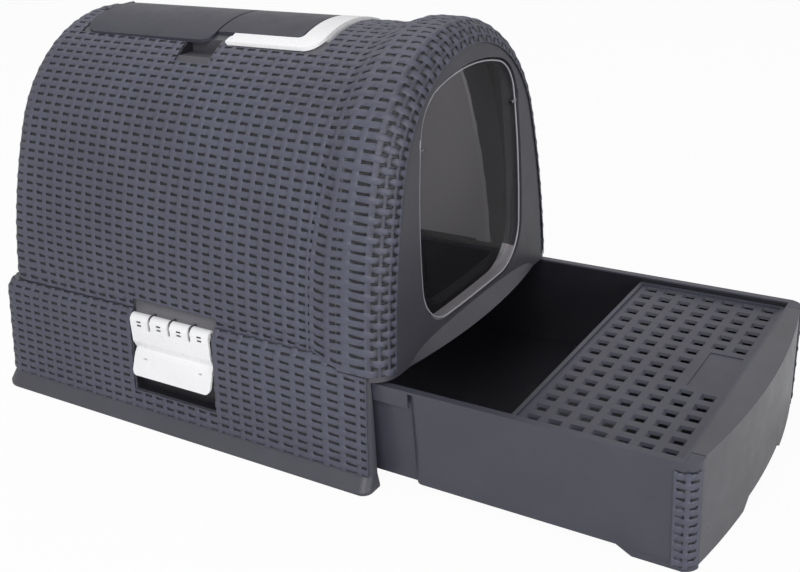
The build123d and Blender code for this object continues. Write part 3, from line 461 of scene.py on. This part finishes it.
def weave_tile():
    """Two by two crossings: a strand passes in front of every other stake."""
    bpy.ops.mesh.primitive_plane_add(size=2, location=(COLUMN, ROW, 0))
    tile = bpy.context.object
    tile.name = "tile"
    tile.scale = (COLUMN, ROW, 1)
    bpy.ops.object.transform_apply(location=True, rotation=False, scale=True)
    for turn in (0, 1):
        for share in ACROSS:
            cut(tile, ((turn + share) * COLUMN, 0, 0), (1, 0, 0))
        for share in UP:
            cut(tile, (0, (turn + share) * ROW, 0), (0, 1, 0))
    for point in tile.data.vertices:
        u, v = point.co.x / COLUMN, point.co.y / ROW
        point.co.z = weave_height(u, v % 2)
        line = round(v)
        if 0.01 < abs(v - line) < 0.2:          # the gap's edges
            column = math.floor(u - TINY)
            share_front, growth = GAP_WIDTHS[(column + line) % 2]
            wide = share_front + growth * (u - column)
            point.co.y = (line + (v - line) * wide) * ROW
    return tile


TILE = weave_tile()


def flat_weave(name, columns, rows, first=(0, 0)):
    """A flat sheet of weave. first is the column and row that it starts at."""
    odd = [k % 2 for k in first]
    piece = copied(TILE, name)
    only(piece)
    for axis, count, size in ((0, columns + odd[0], COLUMN), (1, rows + odd[1], ROW)):
        repeat = piece.modifiers.new("repeat", "ARRAY")
        repeat.count = math.ceil(count / 2)
        repeat.use_relative_offset = False
        repeat.use_constant_offset = True
        repeat.constant_offset_displace = [2 * size if k == axis else 0 for k in range(3)]
        repeat.use_merge_vertices = True
        repeat.merge_threshold = MERGE
        bpy.ops.object.modifier_apply(modifier=repeat.name)
    shift = [(first[0] - odd[0]) * COLUMN, (first[1] - odd[1]) * ROW, 0]
    piece.data.transform(Matrix.Translation(shift))
    low = (first[0] * COLUMN, first[1] * ROW)
    high = (low[0] + columns * COLUMN, low[1] + rows * ROW)
    edges = (((low[0], 0, 0), (-1, 0, 0)), ((0, low[1], 0), (0, -1, 0)),
             ((high[0], 0, 0), (1, 0, 0)), ((0, high[1], 0), (0, 1, 0)))
    for at, along in edges:
        cut(piece, at, along, drop=True)
    return piece


def trim(piece, boxes):
    """Cut rectangles out of a flat sheet: (u low, u high, v low, v high)."""
    for u0, u1, v0, v1 in boxes:
        for at, along in (((u0, 0, 0), (1, 0, 0)), ((u1, 0, 0), (1, 0, 0)),
                          ((0, v0, 0), (0, 1, 0)), ((0, v1, 0), (0, 1, 0))):
            cut(piece, at, along)
        pick_faces(piece, lambda c: u0 < c.x < u1 and v0 < c.y < v1)
        bpy.ops.mesh.delete(type="FACE")
        close()


def hem(piece):
    """Turn the sheet's open edges down, so that it closes on the moulding."""
    edit(piece, "EDGE")
    bpy.ops.mesh.select_all(action="DESELECT")
    bpy.ops.mesh.select_non_manifold()
    bpy.ops.mesh.extrude_edges_move(TRANSFORM_OT_translate={"value": (0, 0, -HEM)})
    close()


def laid(piece, where, body, shade=lambda u: 1.0):
    """Lay a flat sheet on the moulding.

    where gives a place and an outward normal for (u, v). shade lowers the height that the finish
    sees, so that the finish paints shade on the weave there."""
    hem(piece)
    mesh = piece.data
    # the finish paints shade in the weave's pits from this height
    height = mesh.attributes.new("height", "FLOAT", "POINT")
    for point, level in zip(mesh.vertices, height.data):
        u, v, h = point.co
        level.value = h / (STRAND + SWING + CROWN) * shade(u)
        place, outward = where(u, v)
        point.co = place + outward * (h + LIFT)
    mesh.update()
    edit(piece)
    bpy.ops.mesh.select_all(action="SELECT")
    bpy.ops.mesh.normals_make_consistent(inside=False)
    close()
    only(piece)
    bpy.ops.object.shade_smooth_by_angle(angle=SMOOTH)
    mesh.materials.clear()
    mesh.materials.append(woven)
    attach(piece, body)
    return piece


# ------------------------------------------------------------------ the hood's shape
FLARE_START = (-0.190, -0.176)  # where the cowl's flare starts: at the crown, at the foot
FLARE_END = -0.2190
FRONT_ROUND_START = -0.2392
FRONT_ROUND = 0.0264
HALF_ARCH = sum(COVER.lengths)
ARCH_ROWS = 41                  # full rows on each side, below the crown
HOOD_ROW = (HALF_ARCH - 0.0035) / ARCH_ROWS
BODY_START = -0.1650            # the even columns start here
BODY_COLUMN = 0.01452
BODY_COLUMNS = 24
FRONT_COLUMNS = 8               # on the flare and round the front edge
REAR_COLUMNS_ROUND = 3          # up to the rear face
# Stakes in front of the even columns: count, and place along the side low and high on it.
# Places past FRONT_ROUND_START run on round the edge.
FRONT_STAKES = ((-8, -0.2756, -0.2756), (-7, -0.2678, -0.2678), (-6, -0.2586, -0.2586),
                (-5.18, -0.2512, -0.2512), (-4.82, -0.2456, -0.2456), (-4, -0.2247, -0.2307),
                (-3, -0.2030, -0.2142), (-2, -0.1805, -0.1970), (-1, -0.1775, -0.1825))
LAST_UPRIGHT = -4.5             # stakes before this count stay upright, the others lean
BODY_SHIFT = 0.0040             # the even columns stand forward by this, high on the side
BEND_START = 0.08               # the stakes lean from this height on the side
BEND_LONG = 0.12
BEND_MOST = 1.45
BEND_POWER = 1.6
REAR_TURN = math.radians(80)    # the weave ends at this turn round the rear edge
ROW_RISE = 0.0165               # the rows rise towards the rear
RISE_ALONG = (-0.24, 0.19)      # between these places
RISE_MIDDLE = -0.01
FLARE_RISE = ROW                # and by a whole row over the flare
FLARE_RISE_START = -0.1900
FLARE_RISE_LONG = 0.0260
FOOT_FADE = 0.03                # the rise fades out near the foot and the crown
CROWN_FADE = 0.05
LATCH_ALONG = (-0.0655, 0.0445)
COWL_REAR = -0.2150             # the cowl stands in front of the base from here
EDGE_SHADE = 0.62               # painted shade: the weave round the cowl's edge is darkened


def between(value, pairs):
    """Straight-line look-up in a rising list of (given, wanted)."""
    for (a, p), (b, q) in zip(pairs, pairs[1:]):
        if value <= b or b == pairs[-1][0]:
            return p + (q - p) * (value - a) / (b - a)


def stakes(height):
    """(column, place along the side) at a length above the hood's foot."""
    share = min(max((height - BEND_START) / BEND_LONG, 0.0), BEND_MOST) ** BEND_POWER
    number, part = COVER.share(height)
    z = COVER.point(number, part)[1]
    start = BODY_START - BODY_SHIFT * share
    end = rear_face(z) - REAR_ROUND * (1 - REAR_TURN)
    front = [(k, low + (high - low) * min(share, 1.0) + BODY_SHIFT * (1 - max(share, 1.0)))
             for k, low, high in FRONT_STAKES if k > LAST_UPRIGHT]
    edge = [(k, low) for k, low, _ in FRONT_STAKES if k < LAST_UPRIGHT]
    return (edge + front + [(0, start), (BODY_COLUMNS, start + BODY_COLUMNS * BODY_COLUMN),
                            (BODY_COLUMNS + REAR_COLUMNS_ROUND, end)])


def hood_column(y, height):
    """Column count at a place along the side."""
    return between(y, [(place, k) for k, place in stakes(height)])


def hood_place(column, length):
    """Place and normal on the hood at a column count and a length along the arch.

    Column 0 is the first even one; the front ones are below 0. A negative length from the
    crown is the left-hand side."""
    side = 1.0 if length >= 0 else -1.0
    height = HALF_ARCH - abs(length)
    fade = max(0.0, min(1.0, height / FOOT_FADE, (HALF_ARCH - height) / CROWN_FADE))
    front_end, rear_end = RISE_ALONG
    rising = min(max(BODY_START + column * BODY_COLUMN, front_end), rear_end) - RISE_MIDDLE
    height += ROW_RISE * rising * fade
    along = between(column, stakes(height))
    flared = min(max((FLARE_RISE_START - along) / FLARE_RISE_LONG, 0.0), 1.0)
    height += FLARE_RISE * flared * fade
    number, share = COVER.share(height)

    def flare(y):
        """Share of the cowl's section at a place, with its slope."""
        start = FLARE_START[0] + (FLARE_START[1] - FLARE_START[0]) * (1 - height / HALF_ARCH)
        t = min(max((start - y) / (start - FLARE_END), 0.0), 1.0)
        return t * t * (3 - 2 * t), 6 * t * (1 - t) / (start - FLARE_END)

    def section(inset, y):
        share_front = flare(y)[0]
        a = COVER.point(number, share, inset)
        b = FRONT.point(number, share, inset)
        return [p + (q - p) * share_front for p, q in zip(a, b)]

    rear = rear_face(COVER.point(number, share)[1]) - REAR_ROUND
    if along < FRONT_ROUND_START:
        turn = (FRONT_ROUND_START - along) / FRONT_ROUND
        y = FRONT_ROUND_START - FRONT_ROUND * math.sin(turn)
        x, z, nx, nz = section(FRONT_ROUND * (1 - math.cos(turn)), y)
        normal = Vector((nx * math.cos(turn), -math.sin(turn), nz * math.cos(turn)))
    elif along <= rear:
        y = along
        x, z, nx, nz = section(0.0, y)
        step = Vector(FRONT.point(number, share)[:2]) - Vector(COVER.point(number, share)[:2])
        slope = step.dot(Vector((nx, nz))) * flare(y)[1]
        normal = Vector((nx, slope, nz)).normalized()
    else:
        turn = (along - rear) / REAR_ROUND
        x, z, nx, nz = section(REAR_ROUND * (1 - math.cos(turn)), 0.0)
        y = rear_face(z) - REAR_ROUND * (1 - math.sin(turn))
        normal = Vector((nx * math.cos(turn), math.sin(turn), nz * math.cos(turn)))
        normal = (normal + Vector((0, 0, REAR_LEAN * math.sin(turn)))).normalized()
    return Vector((side * x, y, z)), Vector((side * normal.x, normal.y, normal.z))


def crown_length(x):
    """Length along the arch from the crown to a place on the crown arc."""
    radius = COVER.arcs[2][1]
    return radius * math.asin(x / radius)


def hood_weave():
    """Woven skin of the hood, one piece a side, cut out round the lid, handle and latches."""
    columns = FRONT_COLUMNS + BODY_COLUMNS + REAR_COLUMNS_ROUND

    def box(y0, y1, low, high):
        """Flat rectangle between two places along the side and two lengths from the crown."""
        height = HALF_ARCH - min(low, HALF_ARCH)
        edges = [hood_column(y, height) * COLUMN for y in (y0, y1)]
        return (*edges, low / HOOD_ROW * ROW, high / HOOD_ROW * ROW)

    foot = HALF_ARCH + 0.01
    crown = -0.001
    boxes = (
        box(-0.1445, 0.1715, crown, crown_length(0.0640)),              # lid and handle
        box(-0.0212, 0.0222, crown, crown_length(0.0746) + 0.0128),     # finger pocket
        box(*LATCH_ALONG, HALF_ARCH - 0.0170, foot),                    # latch
        box(COWL_REAR, 0.2400, HALF_ARCH - 0.0076, foot),               # foot inside the base
        box(-0.2900, COWL_REAR, HALF_ARCH - 0.0052, foot))              # foot of the cowl
    for side, name, odd in ((1, "weave_right", 0), (-1, "weave_left", 1)):
        piece = flat_weave("hood_" + name, columns, ARCH_ROWS + 1, (-FRONT_COLUMNS, odd))
        piece.data.transform(Matrix.Translation((0, -odd * ROW, 0)))
        cut(piece, (0, HALF_ARCH / HOOD_ROW * ROW, 0), (0, 1, 0), drop=True)
        for rectangle in boxes:
            trim(piece, [rectangle])

        def where(u, v):
            length = min(max(v / ROW * HOOD_ROW, 1e-9), HALF_ARCH)
            return hood_place(u / COLUMN, side * length)

        # painted shade on the weave round the cowl's edge
        laid(piece, where, "hood", shade=lambda u: EDGE_SHADE if u < -5 * COLUMN else 1.0)


def rear_weave():
    """Woven sheet on the hood's leaning rear face, cut to the arch inside a plain border."""
    columns, rows, foot, border = 20, 30, 0.1245, 0.0015
    piece = flat_weave("hood_weave_rear", columns, rows)
    middle = columns / 2 * COLUMN
    for number in range(3):
        for share in (0.0, 0.25, 0.5, 0.75, 1.0):
            x, z, nx, nz = COVER.point(number, share, REAR_ROUND + border)
            for side in (1, -1):
                cut(piece, (middle + side * x, z - foot, 0), (side * nx, nz, 0), drop=True)

    def where(u, v):
        z = foot + v
        return (Vector((middle - u, rear_face(z), z)),
                Vector((0, 1, REAR_LEAN)).normalized())

    laid(piece, where, "hood")


hood_weave()
rear_weave()


# ------------------------------------------------------------------ the base's shape
SKIRT_FOOT = 0.0159
SKIRT_TOP = 0.1157
SKIRT_HALF = 0.1835
SKIRT_REAR = 0.2473
SHOULDER_TOP = 0.125
SHOULDER_IN = 0.0071
BASE_TALL = SHOULDER_TOP - SKIRT_FOOT + SHOULDER_IN * 0.6       # along the weave, to the top
BASE_CORNER = 0.020
BASE_ROWS = 13
SIDE_EDGES = (-0.2470, -0.2380, -0.2185, -0.1993, -0.1805, -0.1634, -0.1455, -0.1281, -0.1130,
              -0.0981)          # column edges by the front of the base's sides
SIDE_EVEN = 22                  # even columns behind those
SIDE_COLUMNS = len(SIDE_EDGES) - 1 + SIDE_EVEN
REAR_COLUMNS = 22
TURN_COLUMNS = 2                # round a rear corner
LATCH_LOW = 0.0370              # lower edge of the latch's opening


def base_place(column, row):
    """Place and normal on the base.

    Columns are counted from the front, along the right side and round the rear to the
    middle."""
    skirt_rows = (SKIRT_TOP - SKIRT_FOOT) / BASE_TALL * BASE_ROWS
    if row <= skirt_rows:
        z = SKIRT_FOOT + (SKIRT_TOP - SKIRT_FOOT) * row / skirt_rows
        drawn = (z - FLARE_TOP) * SKIRT_TILT
        tilt = SKIRT_TILT
    else:
        share = (row - skirt_rows) / (BASE_ROWS - skirt_rows)
        z = SKIRT_TOP + (SHOULDER_TOP - SKIRT_TOP) * share
        drawn = (SKIRT_TOP - FLARE_TOP) * SKIRT_TILT + SHOULDER_IN * share
        tilt = SHOULDER_IN / (SHOULDER_TOP - SKIRT_TOP)
    round_in = max(0.0, drawn - (SKIRT_TOP - FLARE_TOP) * SKIRT_TILT)
    corner = BASE_CORNER - round_in
    half = SKIRT_HALF - drawn
    rear = SKIRT_REAR - drawn
    start = rear - corner
    if column <= SIDE_COLUMNS:
        front = len(SIDE_EDGES) - 1
        if column < front:
            k = min(max(int(column), 0), front - 1)
            y = SIDE_EDGES[k] + (SIDE_EDGES[k + 1] - SIDE_EDGES[k]) * (column - k)
        else:
            y = SIDE_EDGES[-1] + (start - SIDE_EDGES[-1]) * (column - front) / SIDE_EVEN
        place = Vector((half, y, z))
        out = Vector((1, 0, tilt))
    elif column <= SIDE_COLUMNS + TURN_COLUMNS:
        turn = (column - SIDE_COLUMNS) / TURN_COLUMNS * math.pi / 2
        place = Vector((half - corner + corner * math.cos(turn), start + corner * math.sin(turn),
                        z))
        out = Vector((math.cos(turn), math.sin(turn), tilt))
    else:
        share = (column - SIDE_COLUMNS - TURN_COLUMNS) / (REAR_COLUMNS / 2)
        place = Vector(((half - corner) * (1 - share), rear, z))
        out = Vector((0, 1, tilt))
    return place, out.normalized()


def side_column(y):
    """Column count at a place along the base's side."""
    if y < SIDE_EDGES[-1]:
        for k, (a, b) in enumerate(zip(SIDE_EDGES, SIDE_EDGES[1:])):
            if y <= b:
                return k + (y - a) / (b - a)
    middle_height = 0.07
    end = SKIRT_REAR - (middle_height - FLARE_TOP) * SKIRT_TILT - BASE_CORNER
    return len(SIDE_EDGES) - 1 + SIDE_EVEN * (y - SIDE_EDGES[-1]) / (end - SIDE_EDGES[-1])


def base_weave():
    """Woven skin of the base, one piece a side, cut out round the latches and the cowl."""
    columns = SIDE_COLUMNS + TURN_COLUMNS + REAR_COLUMNS // 2
    low_row = (LATCH_LOW - SKIRT_FOOT) / BASE_TALL * BASE_ROWS
    top_row = (SKIRT_TOP - SKIRT_FOOT) / BASE_TALL * BASE_ROWS
    past_edge = 0.5
    latch = (*(side_column(y) * COLUMN for y in LATCH_ALONG), low_row * ROW, past_edge)
    front = (-0.1, side_column(COWL_REAR) * COLUMN, top_row * ROW, past_edge)
    for side, name in ((1, "weave_right"), (-1, "weave_left")):
        piece = flat_weave("base_" + name, columns, BASE_ROWS, (0, 0))
        trim(piece, [latch, front])

        def where(u, v):
            place, out = base_place(u / COLUMN, v / ROW)
            return (Vector((side * place.x, place.y, place.z)),
                    Vector((side * out.x, out.y, out.z)))

        laid(piece, where, "base")


base_weave()


# ------------------------------------------------------------------ the drawer's posts
POST_START = -0.5285            # the weave starts here, on the side panel
POST_TURN = -0.5360             # the post turns to the front here
POST_ROUND = (0.0175, 0.0120)   # its rounding, across and along
POST_TOP_HALF = 0.1675          # half width at the drawer's top
POST_LEAN = 0.006 / DRAWER_TOP
POST_LOW = 0.0045
POST_ROWS = 11
POST_WIDE = 0.0235              # along the side and round the corner
POST_ANGLE = math.radians(62)   # the weave ends at this turn


def post_weave():
    """Two columns of weave on each front corner of the drawer."""
    straight = POST_START - POST_TURN
    for side, name in ((1, "weave_right"), (-1, "weave_left")):
        piece = flat_weave("drawer_post_" + name, 2, POST_ROWS)

        def where(u, v):
            along = u / (2 * COLUMN) * POST_WIDE
            z = POST_LOW + v
            half = POST_TOP_HALF - (DRAWER_TOP - z) * POST_LEAN
            if along <= straight:
                return (Vector((side * half, POST_START - along, z)),
                        Vector((side, 0, -POST_LEAN)).normalized())
            turn = (along - straight) / (POST_WIDE - straight) * POST_ANGLE
            across, deep = POST_ROUND
            place = Vector((side * (half - across * (1 - math.cos(turn))),
                            POST_TURN - deep * math.sin(turn), z))
            out = Vector((side * math.cos(turn) / across, -math.sin(turn) / deep, 0)).normalized()
            return place, (out + Vector((0, 0, -POST_LEAN * math.cos(turn)))).normalized()

        laid(piece, where, "drawer")


post_weave()
bpy.data.objects.remove(TILE)


# ------------------------------------------------------------------ the door's bead
DOOR_FACE = -0.2632             # front of the flap
DOOR_MIDDLE = Vector((0, 0.25))
BEAD_IN = 0.0017                # from the flap's edge
BEAD_ROUND = 0.0009
BEAD_PROUD = 0.0002
BEAD_STEP = 0.0004              # points of the outline that are nearer are left out


def door_bead():
    """Thin rounded bead round the front of the clear flap, a little in from its edge. Its light
    grey is a painted highlight of the clear rim.
    """
    corners = [point.co for point in nodes["swing_door"].data.vertices]
    flat = [(c.x, c.z) for c in corners if abs(c.y - DOOR_FACE) < 0.0002]
    outline = [Vector(flat[k]) for k in convex_hull_2d(flat)]
    outline = [a for a, b in zip(outline, outline[1:] + outline[:1])
               if (a - b).length > BEAD_STEP]
    count = len(outline)
    bpy.ops.object.select_all(action="DESELECT")
    bpy.ops.mesh.primitive_circle_add(vertices=count, radius=0.1,
                                      location=(0, DOOR_FACE, 0))
    bpy.ops.object.transform_apply(location=True, rotation=False, scale=False)
    bead = bpy.context.object
    bead.name = "door_bead"
    for k, point in enumerate(bead.data.vertices):
        before, here, after = (outline[(k + step) % count] for step in (-1, 0, 1))
        along = (after - before).normalized()
        inward = Vector((-along.y, along.x))
        if inward.dot(DOOR_MIDDLE - here) < 0:
            inward.negate()
        place = here + inward * BEAD_IN
        point.co = (place.x, DOOR_FACE - BEAD_PROUD, place.y)
    only(bead)
    bpy.ops.object.convert(target="CURVE")
    bead = bpy.context.object
    bead.data.bevel_depth = BEAD_ROUND
    bead.data.bevel_resolution = 2
    bpy.ops.object.convert(target="MESH")
    bead = bpy.context.object
    bead.data.name = "door_bead"
    only(bead)
    bpy.ops.object.shade_smooth_by_angle(angle=SMOOTH)
    bead.data.materials.clear()
    bead.data.materials.append(bead_highlight)
    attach(bead, "door")


door_bead()


# ------------------------------------------------------------------ stage
CAMERA_TURNS = (-57.08, 23.85, -3.20)       # azimuth, elevation and roll
CAMERA_PLACE = (-0.8934, -0.7527, 0.5934)
FOCAL_PIXELS = 1109.9
PICTURE_WIDTH = 800.0
SENSOR = 36.0


def backdrop():
    """Plain white floor that shows the object's shadow."""
    bpy.ops.mesh.primitive_plane_add(size=30, location=(0, 0, -0.0008))
    floor = bpy.context.object
    floor.name = "floor"
    skin = Finish("floor_white")
    seen = skin.node("ShaderNodeLightPath", output="Is Camera Ray")
    dull = skin.node("ShaderNodeBsdfDiffuse", Color=(0.92, 0.92, 0.92, 1))
    glow = skin.node("ShaderNodeEmission", Color=(1, 1, 1, 1), Strength=1.0)
    both = skin.node("ShaderNodeMixShader", Fac=seen * 0.95)
    for place, shader in ((1, dull), (2, glow)):
        skin.tree.links.new(shader.socket, both.socket.node.inputs[place])
    floor.data.materials.append(skin.finish(both))


def sky():
    """White studio: even light, and white where the camera or a reflection sees it."""
    world = bpy.data.worlds.new("studio")
    bpy.context.scene.world = world
    world.use_nodes = True
    tree = world.node_tree
    tree.nodes.clear()
    path = tree.nodes.new("ShaderNodeLightPath")
    seen = Value(tree, path.outputs["Is Camera Ray"])
    mirror = Value(tree, path.outputs["Is Glossy Ray"])
    through = Value(tree, path.outputs["Is Transmission Ray"])
    plain = tree.nodes.new("ShaderNodeBackground")
    plain.inputs["Color"].default_value = (1, 1, 1, 1)
    white_share = (seen + mirror * 0.55 + through).held()
    strength = white_share * 0.68 + 0.32
    tree.links.new(strength.socket, plain.inputs["Strength"])
    out = tree.nodes.new("ShaderNodeOutputWorld")
    tree.links.new(plain.outputs[0], out.inputs["Surface"])


def lamp(name, place, aim, size, power):
    """Round lamp that looks at a point, with its size in metres and its power in watts."""
    bpy.ops.object.light_add(type="AREA", location=place)
    light = bpy.context.object
    light.name = name
    light.data.shape = "DISK"
    light.data.size = size
    light.data.energy = power
    light.rotation_mode = "QUATERNION"
    light.rotation_quaternion = (Vector(aim) - Vector(place)).to_track_quat("-Z", "Y")


def camera():
    """Camera at the photograph's place."""
    azimuth, elevation, roll = (math.radians(a) for a in CAMERA_TURNS)
    back = Vector((math.sin(azimuth) * math.cos(elevation),
                   -math.cos(azimuth) * math.cos(elevation), math.sin(elevation)))
    right = Vector((math.cos(azimuth), math.sin(azimuth), 0))
    up = back.cross(right)
    right, up = (right * math.cos(roll) + up * math.sin(roll),
                 up * math.cos(roll) - right * math.sin(roll))
    bpy.ops.object.camera_add()
    view = bpy.context.object
    view.data.sensor_width = SENSOR
    view.data.lens = FOCAL_PIXELS * SENSOR / PICTURE_WIDTH
    view.data.clip_start = 0.02
    view.rotation_mode = "QUATERNION"
    view.rotation_quaternion = Matrix((right, up, back)).transposed().to_quaternion()
    view.location = CAMERA_PLACE
    bpy.context.scene.camera = view


backdrop()
sky()
lamp("key", (-1.8, -0.6, 1.5), (0, -0.1, 0.2), 1.6, 22.0)
lamp("front", (-1.25, -2.5, 0.75), (0.05, -0.2, 0.25), 1.2, 20.0)
lamp("top", (0.4, 0.6, 2.4), (0, 0, 0.3), 2.0, 12.0)
camera()
bpy.context.scene.view_settings.view_transform = "Standard"
